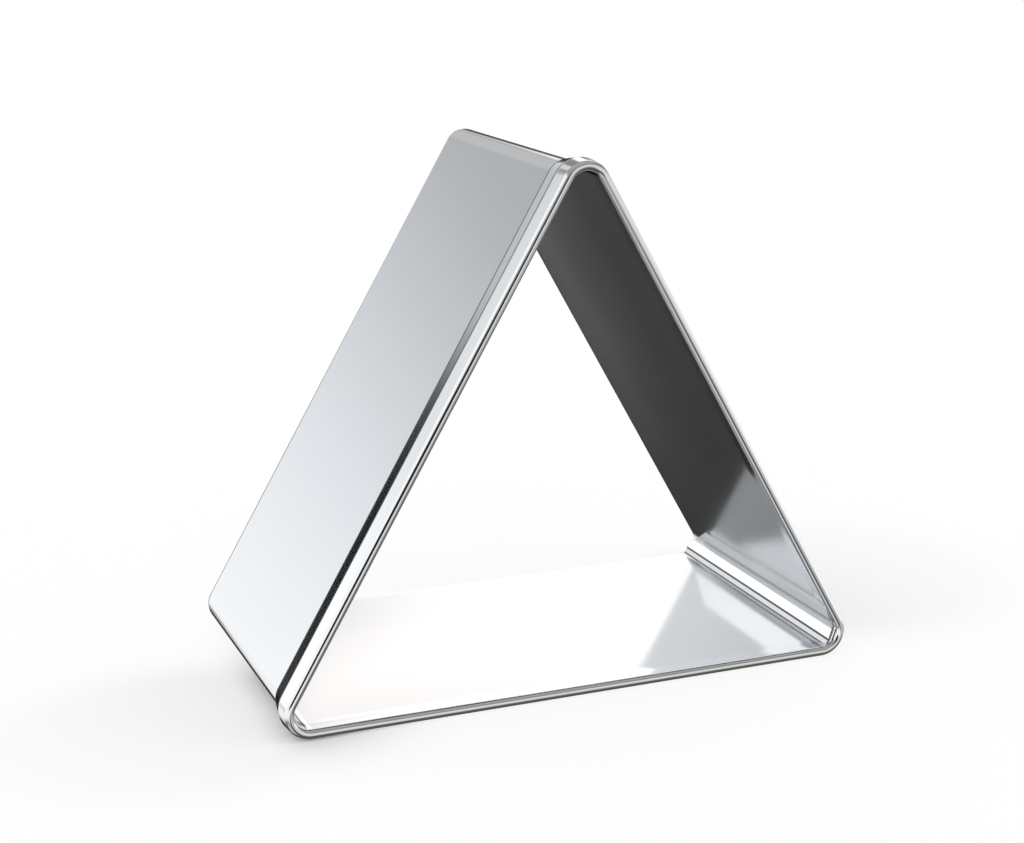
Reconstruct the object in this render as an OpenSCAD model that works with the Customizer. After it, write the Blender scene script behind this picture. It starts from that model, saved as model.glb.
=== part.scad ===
// Triangle cookie cutter: one strip of stainless sheet, folded over along its front edge and bent round
// into a triangle. It stands on its base wall, with the rolled rim toward -Y and the cutting edge toward +Y.

/* [Outline] */
// Length of one side, outside, between the sharp corners of the triangle
side_len = 48; // [40:1:70]
// Height of the cutter, from the front of the rim to the cutting edge
depth = 25; // [18:0.5:40]
// Outside radius of each corner bend
bend_r = 1.6; // [1.2:0.1:4]

/* [Sheet] */
// Thickness of the sheet
sheet_t = 0.3; // [0.2:0.05:0.5]

/* [Rolled rim] */
// Width of the rim, from its front to the free edge on the wall
rim_w = 3.75; // [3.25:0.25:6]
// Open eye left inside the fold
fold_gap = 0.2; // [0.05:0.05:0.3]
// Flat crest between the half-round fold and the tail
crest_w = 1.2; // [0.6:0.1:2]
// Thickness of the free edge, pressed thin against the wall
tail_t = 0.15; // [0.05:0.05:0.15]

/* [Lapped seam] */
// How far round the corner bend the inner end of the sheet goes, in degrees
lap_turn = 80; // [60:1:110]
// Where round the bend it is creased, in degrees; from there on it is flat
lap_crease = 22; // [10:1:40]
// Length up the right wall over which the inner end is set in by one thickness
lap_joggle = 1.6; // [0.8:0.1:4]
// Clearance between the rolled fold and the front of the inner end
lap_setback = 0.1; // [0.05:0.05:3]

/* [Hidden] */
$fn = 96;

// Each corner of an equilateral triangle turns the sheet by this angle
turn = 120;
half_corner = (180 - turn) / 2;
// Distance from the middle of the triangle to the outside of a wall
inradius = side_len / 2 * tan(half_corner);
// Flat length of a wall between its two bends
flat_len = side_len - 2 * bend_r / tan(half_corner);
// Outer radius of the half-round fold, which wraps two sheets and the eye between them
fold_r = sheet_t + fold_gap / 2;
// How far the rim stands out from the wall
rim_out = sheet_t + fold_gap;
// Depths at which the flat crest ends and the sloping tail first touches the wall
crest_end = fold_r + crest_w;
tail_seat = crest_end + (rim_w - crest_end) * fold_gap / (rim_out - tail_t);
// Depth at which the inner end of the sheet begins
lap_front = fold_r + lap_setback;

// Profiles are drawn with X as the distance outward from the wall's outer face and Y as the depth from
// the front of the rim.

module wall_profile() {
    translate([-sheet_t, fold_r])
        square([sheet_t, depth - fold_r]);
}

// Half ring that turns the sheet back over itself at the front edge
module fold_profile() {
    translate([fold_gap / 2, fold_r])
        difference() {
            circle(r = fold_r);
            circle(r = fold_gap / 2);
            translate([-2 * fold_r, 0])
                square([4 * fold_r, 2 * fold_r]);
        }
}

// Outer layer of the fold: a flat crest, then a tail that slopes down onto the wall and is thinned there
module tail_profile() {
    polygon([
        [fold_gap, fold_r],
        [rim_out, fold_r],
        [rim_out, crest_end],
        [tail_t, rim_w],
        [0, rim_w],
        [0, tail_seat],
        [fold_gap, crest_end]
    ]);
}

module rim_profile() {
    fold_profile();
    tail_profile();
}

// Sets the part on its rim, centred over the origin
module stand() {
    translate([0, -depth / 2, inradius + rim_out])
        children();
}

// Side 0 is the base, side 1 the right wall, side 2 the left wall
module along_side(side) {
    stand()
        rotate([0, -turn * side, 0])
            translate([-flat_len / 2, 0, -inradius])
                rotate([0, 90, 0])
                    linear_extrude(height = flat_len)
                        children();
}

// Puts a bend's axis in place: bend 0 is at the left, bend 1 at the right, bend 2 at the top
module at_bend(bend) {
    stand()
        rotate([0, -turn * bend, 0])
            translate([-flat_len / 2, 0, bend_r - inradius])
                rotate([-90, 90, 0])
                    children();
}

module round_bend(bend) {
    at_bend(bend)
        rotate_extrude(angle = turn)
            translate([bend_r, 0])
                children();
}

module wall(side) {
    color("gainsboro")
        along_side(side)
            wall_profile();
}

module wall_bend(bend) {
    color("silver")
        round_bend(bend)
            wall_profile();
}

module rim(side) {
    color("whitesmoke")
        along_side(side)
            rim_profile();
}

module rim_bend(bend) {
    color("lightsteelblue")
        round_bend(bend)
            rim_profile();
}

function round_at(radius, angle) = radius * [cos(angle), sin(angle)];

// Inner end of the sheet, lapped over the right bend: it is set in from the right wall by one thickness,
// creased, and closes the corner on the inside as a flat tab
module seam_lap() {
    lap_r = bend_r - sheet_t;
    crease = round_at(lap_r - sheet_t, lap_crease);
    tip = round_at(lap_r - sheet_t, lap_turn);
    through = round_at(sheet_t, (lap_crease + lap_turn) / 2);
    color("lightgray")
        at_bend(1)
            translate([0, 0, lap_front])
                linear_extrude(height = depth - lap_front)
                    polygon([[lap_r, -lap_joggle], crease, tip, tip + through, crease + through, [lap_r, 0]]);
}

wall(0);  // base_wall
wall(1);  // right_wall
wall(2);  // left_wall
wall_bend(0);  // left_bend
wall_bend(1);  // right_bend
wall_bend(2);  // top_bend
rim(0);  // rim_base
rim(1);  // rim_right
rim(2);  // rim_left
rim_bend(0);  // rim_left_bend
rim_bend(1);  // rim_right_bend
rim_bend(2);  // rim_top_bend
seam_lap();
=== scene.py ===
"""Triangle cookie cutter of bright stainless sheet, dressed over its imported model.

Metres. +X to the right, +Y from the rolled rim to the cutting edge, +Z up.
An outline is drawn at the left end of the base wall, where `out` is the distance outward from the wall's
outer face and `back` the distance from the front of the rim, and is then carried round the triangle.
"""
import math

import bmesh
import bpy
from bpy.props import FloatProperty, FloatVectorProperty, IntProperty, PointerProperty
from bpy.types import Operator, Panel, PropertyGroup
from mathutils import Matrix, Vector


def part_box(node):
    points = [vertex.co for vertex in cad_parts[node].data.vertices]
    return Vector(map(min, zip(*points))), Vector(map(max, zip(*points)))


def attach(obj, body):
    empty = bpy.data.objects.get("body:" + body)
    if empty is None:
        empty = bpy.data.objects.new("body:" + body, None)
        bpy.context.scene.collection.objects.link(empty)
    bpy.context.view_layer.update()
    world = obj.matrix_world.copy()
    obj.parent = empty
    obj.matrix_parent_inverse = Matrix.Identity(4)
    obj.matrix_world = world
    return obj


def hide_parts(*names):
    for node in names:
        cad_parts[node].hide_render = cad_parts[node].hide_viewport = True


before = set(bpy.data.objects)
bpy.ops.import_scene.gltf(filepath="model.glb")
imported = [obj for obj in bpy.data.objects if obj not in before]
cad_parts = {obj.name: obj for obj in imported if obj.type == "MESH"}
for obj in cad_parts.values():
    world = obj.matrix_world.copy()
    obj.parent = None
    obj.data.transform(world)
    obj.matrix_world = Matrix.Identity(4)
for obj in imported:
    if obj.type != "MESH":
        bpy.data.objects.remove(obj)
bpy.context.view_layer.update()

bl_info = {
    "name": "Triangle cookie cutter",
    "version": (1, 0, 0),
    "blender": (4, 5, 0),
    "location": "View3D > Sidebar > Cutter",
    "description": "Builds a folded stainless cookie cutter and the studio that it stands in",
    "category": "Add Mesh",
}

MM = 0.001
# Each corner turns the strip by this angle
TURN = math.radians(120)

# The walls' piece and the rim's piece meet this far behind the middle of the fold
RIM_JOIN = 2.0 * MM
# The fold's swell runs out along the inside of the wall over this length
FLANK_W = 1.2 * MM
# The groove pressed behind the crest, and the strip dipped at the free edge, both finished dark as painted
# shade lines
GROOVE_W = 0.3 * MM
GROOVE_DROP = 0.065 * MM
SHADE_STRIP_W = 0.3 * MM
SHADE_STRIP_DROP = 0.065 * MM
# The rim's dark sheared finish, painted shade, goes on what leans back more than this: the groove and the
# strip, not the tail
STRIP_LEAN = 0.18
# Segments of the half-round nose, and how far the rim's corners are rounded
FOLD_STEPS = 24
FLANK_EASE = 0.35 * MM
CREST_EASE = 0.08 * MM
GROOVE_EASE = 0.05 * MM
SHADE_STRIP_EASE = 0.04 * MM
FREE_EASE = 0.02 * MM

# The cutting edge is dressed on its outside: by this much, over this length
DRESSED = 0.07 * MM
DRESSED_W = 0.4 * MM
EDGE_EASE = 0.04 * MM
# Its sheared finish goes on what leans back more than this
CUT_LEAN = 0.8

# Edges of the lapped end, seen along the right bend: radius in millimetres, and degrees up from the base
LAP_CREST = (1.0, 98)
LAP_TIP = (1.0, 45)
LAP_BURR = (1.06, 36)
LAP_RAW = (1.24, 21)
LAP_FOOT = (1.31, 16)
LAP_BEHIND = ((1.33, 46), (1.33, 92))
LAP_CREST_EASE = 0.12 * MM
# How far up the right wall it is set in, and that part's slope, against the wall's 120 degrees
JOGGLE_W = 1.75 * MM
JOGGLE_EASE = 0.25 * MM
JOGGLE_SLOPE = math.radians(110)
# Fine rolls across it: share of the way down, and height
JOGGLE_ROLLS = ((0.22, -0.01 * MM), (0.45, 0.008 * MM), (0.7, -0.006 * MM))
# Above it the lap fades into the wall, and it lies a little inside wall and bend, so no two faces coincide
JOGGLE_FADE = 0.4 * MM
SINK_AT_TOP = 0.03 * MM
SINK_AT_BEND = 0.04 * MM
# Its front starts inside the fold and is tucked outward there
LAP_REACH = 0.3 * MM
TUCK_W = 0.25 * MM
TUCK_OUT = 0.45 * MM
# Its back end is cut slanting over this length, and more steeply above the crest
LAP_BACK = 6.0 * MM
STEEPER = 0.8
# Its sheared finish goes on what leans back more than this, and on faces this near the middle of a dark
# line: at the burr partly its own colour and partly painted shade, at the foot painted shade
LAP_CUT_LEAN = 0.6
DARK_LINE_REACH = 0.02 * MM

# Points this close are one, where the ring of sheet closes, and edges turning more than this stay crisp
SAME_PLACE = 0.002 * MM
CRISP = math.radians(32)

# Wear across the sheet, inside first: share of the span, and what it adds to the roughness
WEAR_SPAN = 50 * MM
WEAR = ((0.0, 0.0), (0.08, 0.0), (0.36, 0.085), (0.44, 0.085), (0.46, 0.0))
# How much the haze varies the roughness, up and down
HAZE = 0.005
CUT_ROUGHNESS = 0.42

base_low, base_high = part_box("base_wall")
rim_low, rim_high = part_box("rim_base")
bend_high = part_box("right_bend")[1]

# The white tent around the metal, from below to above: elevation in degrees, brightness and tint
SKY = (
    (-40, 0.10, "#FFFFFF"),
    (-35, 0.30, "#FFFDFA"),
    (-25, 1.00, "#FFFDFA"),
    (0, 1.10, "#FDFEFF"),
    (5, 0.95, "#F9FCFF"),
    (10, 0.70, "#F9FCFF"),
    (14, 0.52, "#FAFCFF"),
    (20, 0.47, "#FBFDFF"),
    (26, 0.28, "#FFFFFF"),
    (35, 0.25, "#FFFFFF"),
    (50, 0.40, "#FFFFFF"),
    (90, 0.40, "#FFFFFF"),
)
# Cards in the tent, in degrees: azimuth from +Y toward +X, elevation, half width, half height and soft edge,
# then brightness and tint. Later ones cover earlier ones.
CARDS = (
    # Grey over the top bend, and cream in the rim's nose
    (-3, 22, 15, 5, 2, 0.57, "#FFFFFF"),
    (150, 0, 25, 21, 4, 0.82, "#FFF9F1"),
    # The left wall and the crest of its rim
    (-62, 22, 35.5, 14, 4, 0.90, "#FDFEFF"),
    (-84, 22, 38, 16, 5, 1.10, "#FFFFFF"),
    # The outside of the right nose, and the inside of the left one
    (-122, -55, 38, 15, 6, 0.60, "#FFFFFF"),
    (95, -20, 67, 8, 5, 0.50, "#FFFDFA"),
    (95, -35, 67, 8, 4, 0.15, "#FFFDFA"),
    # White low on the left crest
    (-38, 2, 9, 8, 3, 1.22, "#FFFFFF"),
    # The base wall: white, its far end, and cream toward the rim
    (28, 28.5, 13, 9.5, 1.5, 1.42, "#FFFAF7"),
    (30, 18, 12, 3, 1.5, 1.42, "#FFFCFA"),
    (28, 32, 13, 9.5, 2.5, 1.05, "#FFFAF8"),
    # Light beside the lapped end, and on the upper part of the tail
    (-12, 33, 6, 7, 2, 0.75, "#FFFFFF"),
    (-34, -12, 5, 4, 2, 0.78, "#FBFDFF"),
    (-4, 6, 9, 5, 3, 0.58, "#FFFFFF"),
    # The dark inside of the right wall, and the black line beside its rim
    (9, -20, 19, 21.5, 2.5, 0.045, "#FFFFFF"),
    (13.2, -22, 9.3, 10, 1.5, 0.004, "#FFFFFF"),
    # Light in the set-in part of the lapped end, and black in the right nose under it
    (-11.5, -33, 3.5, 3, 1, 0.7, "#FFFFFF"),
    (-10, -42.5, 14, 5.5, 0.8, 0.004, "#FFFFFF"),
    # The black lower part of the tail, and dark lines over the top bend, in the left nose and the right one
    (-4, -10, 11, 11.2, 2, 0.004, "#FFFFFF"),
    (20, 1, 7, 10.5, 1.5, 0.05, "#FFFFFF"),
    (-154, 7, 27, 12, 2.5, 0.01, "#FFFFFF"),
    (178, -30, 10, 9, 3, 0.04, "#FFFFFF"),
)

# Pools beside the cutter where the floor keeps its real shadow and has no glow; elsewhere the glow is
# painted light that hides the shadow: middle and reach, in metres
SHADES = (
    ((-0.030, -0.007, 0.0), (0.026, 0.020, 1.0)),
    ((0.034, 0.004, 0.0), (0.024, 0.026, 1.0)),
)
SHADE_RIM = 0.35
FLOOR_R = 2.6

# The camera, fitted to the cutter's edges in the photograph: where it stands, and its own three directions
CAMERA_AT = (-0.056738, -0.136132, 0.058814)
CAMERA_RIGHT = (0.92494, -0.38009, 0.00311)
CAMERA_UP = (0.09716, 0.24432, 0.96481)
CAMERA_BACK = (-0.36747, -0.8921, 0.26291)
# Focal length in millimetres, on a sensor 36 mm wide
FOCAL = 67.68

WALL_NODES = ("base_wall", "right_wall", "left_wall", "left_bend", "right_bend", "top_bend")
RIM_NODES = (
    "rim_base",
    "rim_right",
    "rim_left",
    "rim_left_bend",
    "rim_right_bend",
    "rim_top_bend",
)


def length(name, description, default):
    return FloatProperty(
        name=name, description=description, default=default, min=0.0, unit="LENGTH", precision=5
    )


def colour(name, description, default):
    return FloatVectorProperty(
        name=name,
        description=description,
        default=linear(default),
        subtype="COLOR",
        size=3,
        min=0.0,
        max=1.0,
    )


def linear(hex_code):
    """Linear red, green and blue of an sRGB hex colour."""
    parts = [int(hex_code[i : i + 2], 16) / 255 for i in (1, 3, 5)]
    return tuple(c / 12.92 if c <= 0.04045 else ((c + 0.055) / 1.055) ** 2.4 for c in parts)


class CutterSizes(PropertyGroup):
    """Sizes of the strip and its rim"""

    flat_len: length("Flat length", "Flat part of a wall, between two bends", base_high.x - base_low.x)
    depth: length("Depth", "From the front of the rim to the cutting edge", base_high.y - rim_low.y)
    sheet_t: length("Sheet", "Thickness of the sheet", base_high.z - base_low.z)
    bend_r: length("Bend radius", "Outside radius of a corner bend", bend_high.x - base_high.x)
    fold_r: length("Fold radius", "Outside radius of the half-round fold", base_low.y - rim_low.y)
    rim_out: length("Rim height", "How far the rim stands out from the wall", base_low.z - rim_low.z)
    rim_w: length("Rim width", "From the front of the rim to its free edge", rim_high.y - rim_low.y)
    crest_w: length("Crest width", "Crest of the rim behind the fold", 1.2 * MM)
    swell: length("Swell", "How far the fold swells past the sheet on its inside", 0.05 * MM)
    crest_drop: length("Crest drop", "How far the crest slopes down toward the fold", 0.1 * MM)
    tail_t: length("Free edge", "Thickness of the rim's free edge", 0.12 * MM)
    bend_steps: IntProperty(
        name="Bend steps", description="Segments round a bend", default=28, min=4, max=64
    )
    wall_steps: IntProperty(
        name="Wall steps", description="Segments along a wall", default=14, min=1, max=64
    )


class SteelFinish(PropertyGroup):
    """Colours and polish of the steel"""

    steel: colour("Steel", "Bright cold-rolled stainless sheet", "#ECEEF0")
    # This grey is also the painted shade on the rim's groove and strip and at the lapped end's foot
    cut_edge_and_painted_shade: colour("Cut edge", "Sheared end of the sheet", "#6C6D70")
    roughness: FloatProperty(
        name="Roughness", description="Of the bright sheet", default=0.11, min=0.0, max=1.0
    )


class StudioLook(PropertyGroup):
    """Colour and painted glow of the floor"""

    floor: colour("Floor", "Matt white card under the cutter", "#FFFFFF")
    # The glow is painted light: an emission that the camera alone sees on the floor outside the shadow pools
    glow: FloatProperty(
        name="Glow",
        description="Share of the floor's white that is lit from below",
        default=0.87,
        min=0.0,
        max=1.0,
    )


def corner(sizes, out, back):
    """A point of the outline, at the left end of the base wall."""
    return Vector((-sizes.flat_len / 2, back - sizes.depth / 2, sizes.rim_out - out))


def draw_outline(bm, points):
    """Closed outline from its corners, as one face."""
    bm.faces.new([bm.verts.new(p) for p in points])


def only(made, kind):
    """The vertices, edges or faces among what an operator made."""
    return [item for item in made if isinstance(item, kind)]


def ease(bm, point, reach, segments=3):
    """Rounds the corner of an outline that is nearest to a point."""
    vert = min(bm.verts, key=lambda v: (v.co - point).length)
    bmesh.ops.bevel(
        bm,
        geom=[vert],
        offset=reach,
        offset_type="OFFSET",
        segments=segments,
        profile=0.5,
        affect="VERTICES",
        material=-1,
        clamp_overlap=True,
    )


def carry_round(bm, sizes, start):
    """Carries the outline along the three walls and round the three bends, and closes the ring.

    The sheet's developed length and the distance across its outline are kept as UVs, in metres.
    """
    along = bm.verts.layers.float.new("along")
    across = bm.verts.layers.float.new("across")
    face = bm.faces[:][0]
    edges = list(face.edges)
    ring = list(face.verts)
    first = min(range(len(ring)), key=lambda i: (ring[i].co - start).length)
    ring = ring[first:] + ring[:first]
    travelled = 0.0
    for before, here in zip(ring, ring[1:]):
        travelled += (here.co - before.co).length
        here[across] = travelled
    bmesh.ops.delete(bm, geom=[face], context="FACES_ONLY")
    centre = Vector((0, 0, sizes.rim_out + sizes.bend_r + sizes.flat_len / 2 * math.tan(math.pi / 6)))
    bend_centre = Vector((sizes.flat_len / 2, 0, sizes.rim_out + sizes.bend_r))
    support = 0.1 * MM
    stretch = (sizes.flat_len - 2 * support) / sizes.wall_steps
    strides = [support] + [stretch] * sizes.wall_steps + [support]
    position = 0.0
    for side in range(3):
        facing = Matrix.Rotation(-TURN * side, 3, "Y")
        heading = facing @ Vector((1, 0, 0))
        for stride in strides:
            made = bmesh.ops.extrude_edge_only(bm, edges=edges)["geom"]
            fresh = only(made, bmesh.types.BMVert)
            bmesh.ops.translate(bm, verts=fresh, vec=heading * stride)
            edges = [e for e in only(made, bmesh.types.BMEdge) if e.is_boundary]
            position += stride
            for v in fresh:
                v[along] = position
        axis_at = centre + facing @ (bend_centre - centre)
        for _ in range(sizes.bend_steps):
            made = bmesh.ops.spin(
                bm,
                geom=edges + list(dict.fromkeys(v for e in edges for v in e.verts)),
                cent=axis_at,
                axis=(0, 1, 0),
                dvec=(0, 0, 0),
                angle=-TURN / sizes.bend_steps,
                steps=1,
                use_merge=False,
                use_normal_flip=False,
                use_duplicate=False,
            )["geom_last"]
            edges = only(made, bmesh.types.BMEdge)
            position += TURN / sizes.bend_steps * sizes.bend_r
            for v in only(made, bmesh.types.BMVert):
                v[along] = position
    uv = bm.loops.layers.uv.new("sheet")
    for face in bm.faces:
        for loop in face.loops:
            loop[uv].uv = (loop.vert[along], loop.vert[across])
    bmesh.ops.remove_doubles(bm, verts=bm.verts, dist=SAME_PLACE)
    bmesh.ops.recalc_face_normals(bm, faces=bm.faces)


def mark_cut_and_painted_shade(bm, beyond, lean):
    """Gives the dark sheared finish to the faces beyond this depth that lean back more than this: the cut's
    own colour on the cutting edge, painted shade on the rim's groove and free-edge strip.
    """
    for face in bm.faces:
        if face.normal.y > lean and face.calc_center_median().y > beyond:
            face.material_index = 1


def finish_piece(bm, name, finish, nodes):
    """Makes the object, with smooth faces and crisp creases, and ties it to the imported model."""
    for face in bm.faces:
        face.smooth = True
    for edge in bm.edges:
        if len(edge.link_faces) == 2:
            edge.smooth = edge.calc_face_angle() < CRISP
    mesh = bpy.data.meshes.new(name)
    bm.to_mesh(mesh)
    bm.free()
    piece = bpy.data.objects.new(name, mesh)
    bpy.context.scene.collection.objects.link(piece)
    mesh.materials.append(bright_sheet(finish))
    mesh.materials.append(sheared_edge_and_painted_shade(finish))
    weighted = piece.modifiers.new("Flat faces lead", "WEIGHTED_NORMAL")
    weighted.keep_sharp = True
    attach(piece, "root")
    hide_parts(*nodes)


def add(tree, kind, inputs=(), **settings):
    """Adds a node with its settings, and gives each input named a value or the socket that feeds it."""
    node = tree.nodes.new(kind)
    for key, value in settings.items():
        setattr(node, key, value)
    for socket, source in dict(inputs).items():
        if isinstance(source, bpy.types.NodeSocket):
            tree.links.new(source, node.inputs[socket])
        else:
            node.inputs[socket].default_value = source
    return node


def bright_sheet(finish):
    """Bright annealed stainless sheet, from polished rolls: a soft mirror with a faint grain."""
    made = bpy.data.materials.get("bright_annealed_sheet")
    if made:
        return made
    material = bpy.data.materials.new("bright_annealed_sheet")
    material.use_nodes = True
    tree = material.node_tree
    tree.nodes.clear()
    place = add(tree, "ShaderNodeUVMap", uv_map="sheet")
    # Rolling grain runs along the strip: 4 mm long and 0.1 mm wide, coarser than the real one, to show
    grain_at = add(tree, "ShaderNodeMapping", {"Vector": place.outputs[0], "Scale": (250.0, 9000.0, 1.0)})
    grain = add(tree, "ShaderNodeTexNoise", {"Vector": grain_at.outputs[0], "Scale": 1.0, "Detail": 2.0})
    # Patches 5 to 8 mm wide where handling has dulled the shine a little
    haze_at = add(tree, "ShaderNodeMapping", {"Vector": place.outputs[0], "Scale": (120.0, 200.0, 1.0)})
    haze = add(tree, "ShaderNodeTexNoise", {"Vector": haze_at.outputs[0], "Scale": 1.0, "Detail": 3.0})
    patchy = add(
        tree,
        "ShaderNodeMapRange",
        {
            "Value": haze.outputs[0],
            "From Min": 0.3,
            "From Max": 0.7,
            "To Min": finish.roughness - HAZE,
            "To Max": finish.roughness + HAZE,
        },
    )
    # Inside, dough and fingers have dulled the sheet toward the cutting edge
    across = add(tree, "ShaderNodeSeparateXYZ", {0: place.outputs[0]})
    share = add(tree, "ShaderNodeMath", {0: across.outputs[1], 1: 1 / WEAR_SPAN}, operation="MULTIPLY")
    worn = add(tree, "ShaderNodeValToRGB", {0: share.outputs[0]})
    while len(worn.color_ramp.elements) < len(WEAR):
        worn.color_ramp.elements.new(0.5)
    for element, (at, level) in zip(worn.color_ramp.elements, WEAR):
        element.position = at
        element.color = (level, level, level, 1.0)
    rough = add(tree, "ShaderNodeMath", {0: patchy.outputs[0], 1: worn.outputs[0]}, operation="ADD")
    relief = add(
        tree, "ShaderNodeBump", {"Height": grain.outputs[0], "Strength": 0.01, "Distance": 0.02 * MM}
    )
    steel = add(
        tree,
        "ShaderNodeBsdfPrincipled",
        {
            "Base Color": (*finish.steel, 1.0),
            "Metallic": 1.0,
            "Roughness": rough.outputs[0],
            "Normal": relief.outputs[0],
        },
    )
    add(tree, "ShaderNodeOutputMaterial", {"Surface": steel.outputs[0]})
    return material


def sheared_edge_and_painted_shade(finish):
    """Stainless sheet where the shears went through: matt and darker, scored across its thickness. Also laid
    as painted shade on the rim's groove and free-edge strip and at the lapped end's foot, and partly as
    painted shade at its burr.
    """
    made = bpy.data.materials.get("sheared_edge_and_painted_shade")
    if made:
        return made
    material = bpy.data.materials.new("sheared_edge_and_painted_shade")
    material.use_nodes = True
    tree = material.node_tree
    tree.nodes.clear()
    place = add(tree, "ShaderNodeUVMap", uv_map="sheet")
    # Score marks 0.2 mm apart along the cut
    scores_at = add(tree, "ShaderNodeMapping", {"Vector": place.outputs[0], "Scale": (5000.0, 600.0, 1.0)})
    scores = add(tree, "ShaderNodeTexNoise", {"Vector": scores_at.outputs[0], "Scale": 1.0, "Detail": 2.0})
    relief = add(
        tree, "ShaderNodeBump", {"Height": scores.outputs[0], "Strength": 0.3, "Distance": 0.03 * MM}
    )
    steel = add(
        tree,
        "ShaderNodeBsdfPrincipled",
        {
            "Base Color": (*finish.cut_edge_and_painted_shade, 1.0),
            "Metallic": 1.0,
            "Roughness": CUT_ROUGHNESS,
            "Normal": relief.outputs[0],
        },
    )
    add(tree, "ShaderNodeOutputMaterial", {"Surface": steel.outputs[0]})
    return material


class CUTTER_OT_sheet_walls(Operator):
    """Bend the plain part of the strip into the three walls"""

    bl_idname = "cutter.sheet_walls"
    bl_label = "Sheet walls"

    def execute(self, context):
        sizes = context.scene.cutter_sizes
        finish = context.scene.steel_finish
        join = sizes.fold_r + RIM_JOIN
        start = corner(sizes, -sizes.sheet_t, join)
        inner_edge = corner(sizes, -sizes.sheet_t, sizes.depth)
        outer_edge = corner(sizes, -DRESSED, sizes.depth)
        bm = bmesh.new()
        draw_outline(
            bm,
            [
                start,
                inner_edge,
                outer_edge,
                corner(sizes, 0, sizes.depth - DRESSED_W),
                corner(sizes, 0, join),
            ],
        )
        ease(bm, inner_edge, EDGE_EASE)
        ease(bm, outer_edge, EDGE_EASE)
        carry_round(bm, sizes, start)
        mark_cut_and_painted_shade(bm, sizes.depth / 2 - EDGE_EASE, CUT_LEAN)
        finish_piece(bm, "sheet_walls", finish, WALL_NODES)
        return {"FINISHED"}


class CUTTER_OT_rolled_rim(Operator):
    """Fold the front edge of the strip over into its rolled rim"""

    bl_idname = "cutter.rolled_rim"
    bl_label = "Rolled rim"

    def execute(self, context):
        sizes = context.scene.cutter_sizes
        finish = context.scene.steel_finish
        t = sizes.sheet_t
        join = sizes.fold_r + RIM_JOIN
        crest_end = sizes.fold_r + sizes.crest_w
        fold_top = sizes.rim_out - sizes.crest_drop
        nose_r = (fold_top + t + sizes.swell) / 2
        angles = [math.pi * step / FOLD_STEPS for step in range(FOLD_STEPS + 1)]
        nose = [
            corner(sizes, fold_top - nose_r - nose_r * math.cos(angle), nose_r - nose_r * math.sin(angle))
            for angle in angles
        ]
        start = corner(sizes, -t, join)
        flank = corner(sizes, -t, sizes.fold_r + FLANK_W)
        crest = corner(sizes, sizes.rim_out, crest_end)
        groove = corner(sizes, sizes.rim_out - GROOVE_DROP, crest_end + GROOVE_W)
        drawn = corner(sizes, sizes.tail_t + SHADE_STRIP_DROP, sizes.rim_w - SHADE_STRIP_W)
        free_edge = corner(sizes, sizes.tail_t, sizes.rim_w)
        bm = bmesh.new()
        draw_outline(
            bm,
            [
                start,
                flank,
                *nose,
                crest,
                groove,
                drawn,
                free_edge,
                corner(sizes, 0, sizes.rim_w),
                corner(sizes, 0, join),
            ],
        )
        ease(bm, flank, FLANK_EASE, segments=6)
        ease(bm, crest, CREST_EASE)
        ease(bm, groove, GROOVE_EASE)
        ease(bm, drawn, SHADE_STRIP_EASE)
        ease(bm, free_edge, FREE_EASE)
        carry_round(bm, sizes, start)
        # The groove's back slope and the free-edge strip take the dark finish as painted shade lines
        mark_cut_and_painted_shade(bm, crest_end - sizes.depth / 2, STRIP_LEAN)
        finish_piece(bm, "rolled_rim", finish, RIM_NODES)
        return {"FINISHED"}


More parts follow.
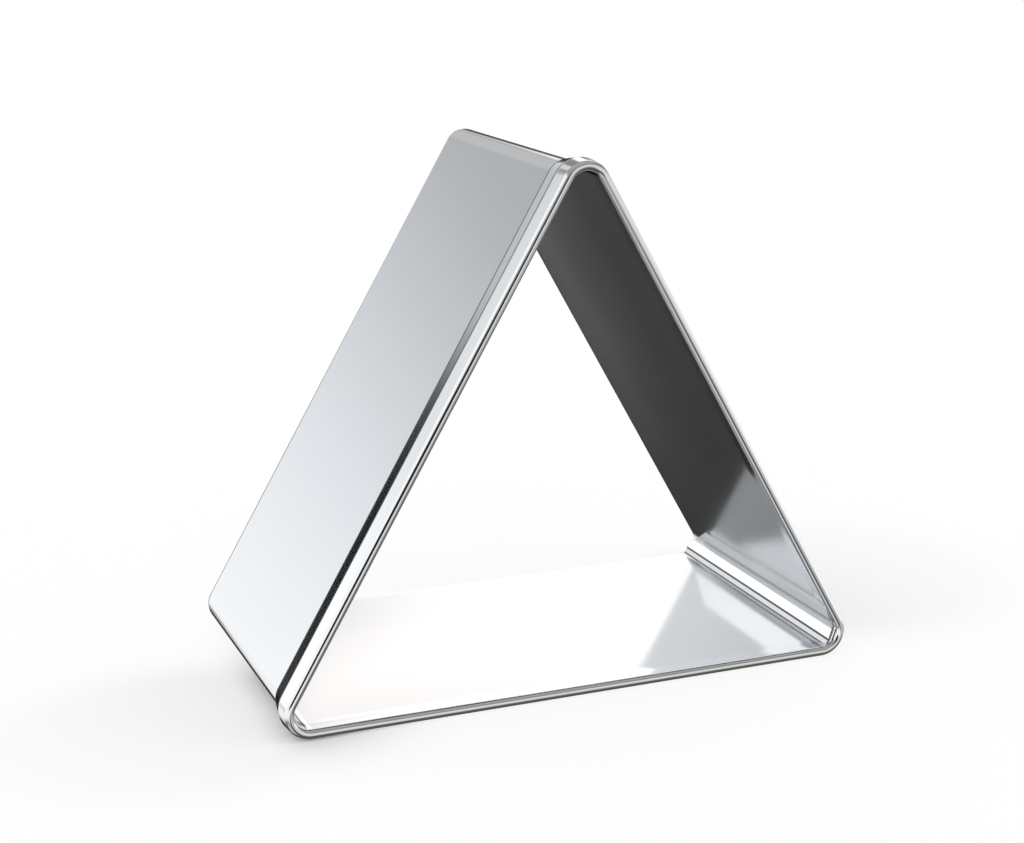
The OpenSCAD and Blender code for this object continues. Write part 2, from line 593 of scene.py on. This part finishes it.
class CUTTER_OT_lapped_end(Operator):
    """Lap the inner end of the strip over the right bend"""

    bl_idname = "cutter.lapped_end"
    bl_label = "Lapped end"

    def execute(self, context):
        sizes = context.scene.cutter_sizes
        finish = context.scene.steel_finish
        low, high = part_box("seam_lap")
        axis_at = Vector((sizes.flat_len / 2, low.y - LAP_REACH, sizes.rim_out + sizes.bend_r))

        def turned(radius, degrees):
            angle = math.radians(degrees)
            return axis_at + Vector((radius * math.sin(angle), 0, -radius * math.cos(angle)))

        up_wall = Vector((math.cos(TURN), 0, math.sin(TURN)))
        into_wall = Vector((math.sin(TURN), 0, -math.cos(TURN)))
        off_joggle = Vector((-math.sin(JOGGLE_SLOPE), 0, math.cos(JOGGLE_SLOPE)))
        seen = (LAP_CREST, LAP_TIP, LAP_BURR, LAP_RAW, LAP_FOOT)
        crest, tip, burr, raw, foot = (turned(radius * MM, degrees) for radius, degrees in seen)
        tangent = turned(sizes.bend_r - sizes.sheet_t, math.degrees(TURN))
        top = tangent + up_wall * JOGGLE_W
        sunk_top = tangent + up_wall * (JOGGLE_W + JOGGLE_FADE) + into_wall * SINK_AT_TOP
        behind = [turned(radius * MM, degrees) for radius, degrees in LAP_BEHIND]
        behind.append(tangent + into_wall * SINK_AT_BEND)
        rolls = [top.lerp(crest, share) + off_joggle * lift for share, lift in JOGGLE_ROLLS]
        bm = bmesh.new()
        draw_outline(bm, [sunk_top, top, *rolls, crest, tip, burr, raw, foot, *behind])
        ease(bm, top, JOGGLE_EASE, segments=6)
        ease(bm, crest, LAP_CREST_EASE)
        front = list(bm.verts)
        region = bm.faces[:]
        middle = high.y - low.y + LAP_REACH - TUCK_W - LAP_BACK
        for stride in (TUCK_W, middle, LAP_BACK):
            made = bmesh.ops.extrude_face_region(bm, geom=region)["geom"]
            back = only(made, bmesh.types.BMVert)
            region = only(made, bmesh.types.BMFace)
            bmesh.ops.translate(bm, verts=back, vec=(0, stride, 0))
        for v in front:
            outward = (v.co - axis_at).normalized()
            v.co += Vector((outward.x, 0, outward.z)) * TUCK_OUT
        for v in back:
            v.co.y -= max(0.0, v.co.z - tip.z) + STEEPER * max(0.0, v.co.z - crest.z)
        bmesh.ops.recalc_face_normals(bm, faces=bm.faces)
        uv = bm.loops.layers.uv.new("sheet")
        # Dark finish at the tip's burr, partly its own colour and partly painted shade of the gap under the
        # end, and at the foot, painted shade where the end meets the bend
        dark_line_middles = ((tip + burr) / 2, (raw + foot) / 2)
        for face in bm.faces:
            centre = face.calc_center_median()
            off_dark_line = min((centre - at).xz.length for at in dark_line_middles)
            if face.normal.y > LAP_CUT_LEAN or off_dark_line < DARK_LINE_REACH:
                face.material_index = 1
            for loop in face.loops:
                loop[uv].uv = (loop.vert.co.z, loop.vert.co.y)
        finish_piece(bm, "lapped_end", finish, ("seam_lap",))
        return {"FINISHED"}


def soft_card(tree, around, height, under, card):
    """Lays one card of the tent over what is under it, and returns the colour of both."""
    azimuth, elevation, half_width, half_height, edge, brightness, tint = card
    facing = add(
        tree,
        "ShaderNodeVectorRotate",
        {"Vector": around, "Axis": (0, 0, 1), "Angle": math.radians(azimuth)},
        rotation_type="AXIS_ANGLE",
    )
    parts = add(tree, "ShaderNodeSeparateXYZ", {0: facing.outputs[0]})
    bearing = add(tree, "ShaderNodeMath", {0: parts.outputs[0], 1: parts.outputs[1]}, operation="ARCTAN2")
    lift = add(tree, "ShaderNodeMath", {0: height, 1: math.radians(elevation)}, operation="SUBTRACT")
    cover = 1.0
    for off, half in ((bearing, half_width), (lift, half_height)):
        aside = add(tree, "ShaderNodeMath", {0: off.outputs[0]}, operation="ABSOLUTE")
        within = add(
            tree,
            "ShaderNodeMapRange",
            {
                "Value": aside.outputs[0],
                "From Min": math.radians(half + edge),
                "From Max": math.radians(half - edge),
            },
            interpolation_type="SMOOTHSTEP",
        )
        both = add(tree, "ShaderNodeMath", {0: within.outputs[0], 1: cover}, operation="MULTIPLY")
        cover = both.outputs[0]
    tone = tuple(brightness * part for part in linear(tint))
    # Sockets 0, 6 and 7 of a colour mix are its factor and its two colours, and output 2 is the result
    mixed = add(tree, "ShaderNodeMix", {0: cover, 6: under, 7: (*tone, 1.0)}, data_type="RGBA")
    return mixed.outputs[2]


class CUTTER_OT_studio(Operator):
    """Lay the white floor and set the tent around the metal and the camera"""

    bl_idname = "cutter.studio"
    bl_label = "Studio"

    def execute(self, context):
        scene = context.scene
        look = scene.studio_look
        self.floor(scene, look)
        self.world(scene)
        self.camera(scene)
        scene.view_settings.view_transform = "Standard"
        return {"FINISHED"}

    def floor(self, scene, look):
        bm = bmesh.new()
        bmesh.ops.create_circle(bm, cap_ends=True, segments=96, radius=FLOOR_R)
        mesh = bpy.data.meshes.new("floor")
        bm.to_mesh(mesh)
        bm.free()
        floor = bpy.data.objects.new("floor", mesh)
        scene.collection.objects.link(floor)
        # Matt white card: it scatters evenly and has no shine of its own; a painted glow is laid over it for
        # the camera
        material = bpy.data.materials.new("matt_white_with_painted_glow")
        material.use_nodes = True
        tree = material.node_tree
        tree.nodes.clear()
        matt = add(tree, "ShaderNodeBsdfDiffuse", {"Color": (*look.floor, 1.0)})
        clear = add(tree, "ShaderNodeBsdfTransparent")
        # Painted light: white emission in place of the floor's shadow
        glow = add(tree, "ShaderNodeEmission", {"Color": (*look.floor, 1.0), "Strength": 1.0})
        place = add(tree, "ShaderNodeTexCoord")
        shade = 0.0
        for middle, reach in SHADES:
            pool_at = add(
                tree,
                "ShaderNodeMapping",
                {"Vector": place.outputs["Object"], "Location": middle, "Scale": reach},
                vector_type="TEXTURE",
            )
            pool = add(
                tree,
                "ShaderNodeTexGradient",
                {"Vector": pool_at.outputs[0]},
                gradient_type="QUADRATIC_SPHERE",
            )
            edge = add(
                tree,
                "ShaderNodeMapRange",
                {"Value": pool.outputs["Fac"], "From Min": 0.0, "From Max": SHADE_RIM},
                interpolation_type="SMOOTHSTEP",
            )
            deeper = add(tree, "ShaderNodeMath", {0: shade, 1: edge.outputs[0]}, operation="MAXIMUM")
            shade = deeper.outputs[0]
        # To the camera it glows white outside the pools, painted light that hides the cutter's shadow in
        # front and behind, and the metal sees through it to the tent
        path = add(tree, "ShaderNodeLightPath")
        painted_light_share = add(tree, "ShaderNodeMapRange", {"Value": shade, "To Min": look.glow, "To Max": 0.0})
        lit = add(
            tree,
            "ShaderNodeMath",
            {0: path.outputs["Is Camera Ray"], 1: painted_light_share.outputs[0]},
            operation="MULTIPLY",
        )
        sheet = add(
            tree, "ShaderNodeMixShader", {0: lit.outputs[0], 1: matt.outputs[0], 2: glow.outputs[0]}
        )
        seen = add(
            tree,
            "ShaderNodeMixShader",
            {0: path.outputs["Is Glossy Ray"], 1: sheet.outputs[0], 2: clear.outputs[0]},
        )
        add(tree, "ShaderNodeOutputMaterial", {"Surface": seen.outputs[0]})
        mesh.materials.append(material)

    def world(self, scene):
        world = bpy.data.worlds.new("studio")
        scene.world = world
        world.use_nodes = True
        tree = world.node_tree
        tree.nodes.clear()
        place = add(tree, "ShaderNodeTexCoord")
        parts = add(tree, "ShaderNodeSeparateXYZ", {0: place.outputs["Generated"]})
        height = add(tree, "ShaderNodeMath", {0: parts.outputs[2]}, operation="ARCSINE")
        share = add(
            tree,
            "ShaderNodeMapRange",
            {"Value": height.outputs[0], "From Min": math.radians(-90), "From Max": math.radians(90)},
        )
        sky = add(tree, "ShaderNodeValToRGB", {0: share.outputs[0]})
        while len(sky.color_ramp.elements) < len(SKY):
            sky.color_ramp.elements.new(0.5)
        for element, (elevation, level, tint) in zip(sky.color_ramp.elements, SKY):
            element.position = (elevation + 90) / 180
            element.color = (*(level * part for part in linear(tint)), 1.0)
        value = sky.outputs[0]
        for card in CARDS:
            value = soft_card(tree, place.outputs["Generated"], height.outputs[0], value, card)
        # The cards show in the metal alone: the floor is lit by plain white
        path = add(tree, "ShaderNodeLightPath")
        metal = add(
            tree,
            "ShaderNodeMix",
            {0: path.outputs["Is Glossy Ray"], 6: (1.0, 1.0, 1.0, 1.0), 7: value},
            data_type="RGBA",
        )
        glow = add(tree, "ShaderNodeBackground", {"Color": metal.outputs[2], "Strength": 1.0})
        add(tree, "ShaderNodeOutputWorld", {"Surface": glow.outputs[0]})

    def camera(self, scene):
        lens = bpy.data.cameras.new("camera")
        lens.sensor_fit = "HORIZONTAL"
        lens.sensor_width = 36.0
        lens.lens = FOCAL
        lens.clip_start = 0.01
        lens.clip_end = 20.0
        camera = bpy.data.objects.new("camera", lens)
        turn = Matrix((CAMERA_RIGHT, CAMERA_UP, CAMERA_BACK)).transposed()
        camera.matrix_world = Matrix.Translation(CAMERA_AT) @ turn.to_4x4()
        scene.collection.objects.link(camera)
        scene.camera = camera


class VIEW3D_PT_cutter(Panel):
    """Buttons for the pieces of the cutter"""

    bl_label = "Cookie cutter"
    bl_space_type = "VIEW_3D"
    bl_region_type = "UI"
    bl_category = "Cutter"

    def draw(self, context):
        layout = self.layout
        for operator in OPERATORS:
            layout.operator(operator.bl_idname)


OPERATORS = (CUTTER_OT_sheet_walls, CUTTER_OT_rolled_rim, CUTTER_OT_lapped_end, CUTTER_OT_studio)
CLASSES = (CutterSizes, SteelFinish, StudioLook, *OPERATORS, VIEW3D_PT_cutter)


def register():
    for made in CLASSES:
        bpy.utils.register_class(made)
    bpy.types.Scene.cutter_sizes = PointerProperty(type=CutterSizes)
    bpy.types.Scene.steel_finish = PointerProperty(type=SteelFinish)
    bpy.types.Scene.studio_look = PointerProperty(type=StudioLook)


def unregister():
    del bpy.types.Scene.studio_look
    del bpy.types.Scene.steel_finish
    del bpy.types.Scene.cutter_sizes
    for made in reversed(CLASSES):
        bpy.utils.unregister_class(made)


def main():
    register()
    bpy.ops.cutter.sheet_walls()
    bpy.ops.cutter.rolled_rim()
    bpy.ops.cutter.lapped_end()
    bpy.ops.cutter.studio()


if __name__ == "__main__":
    main()
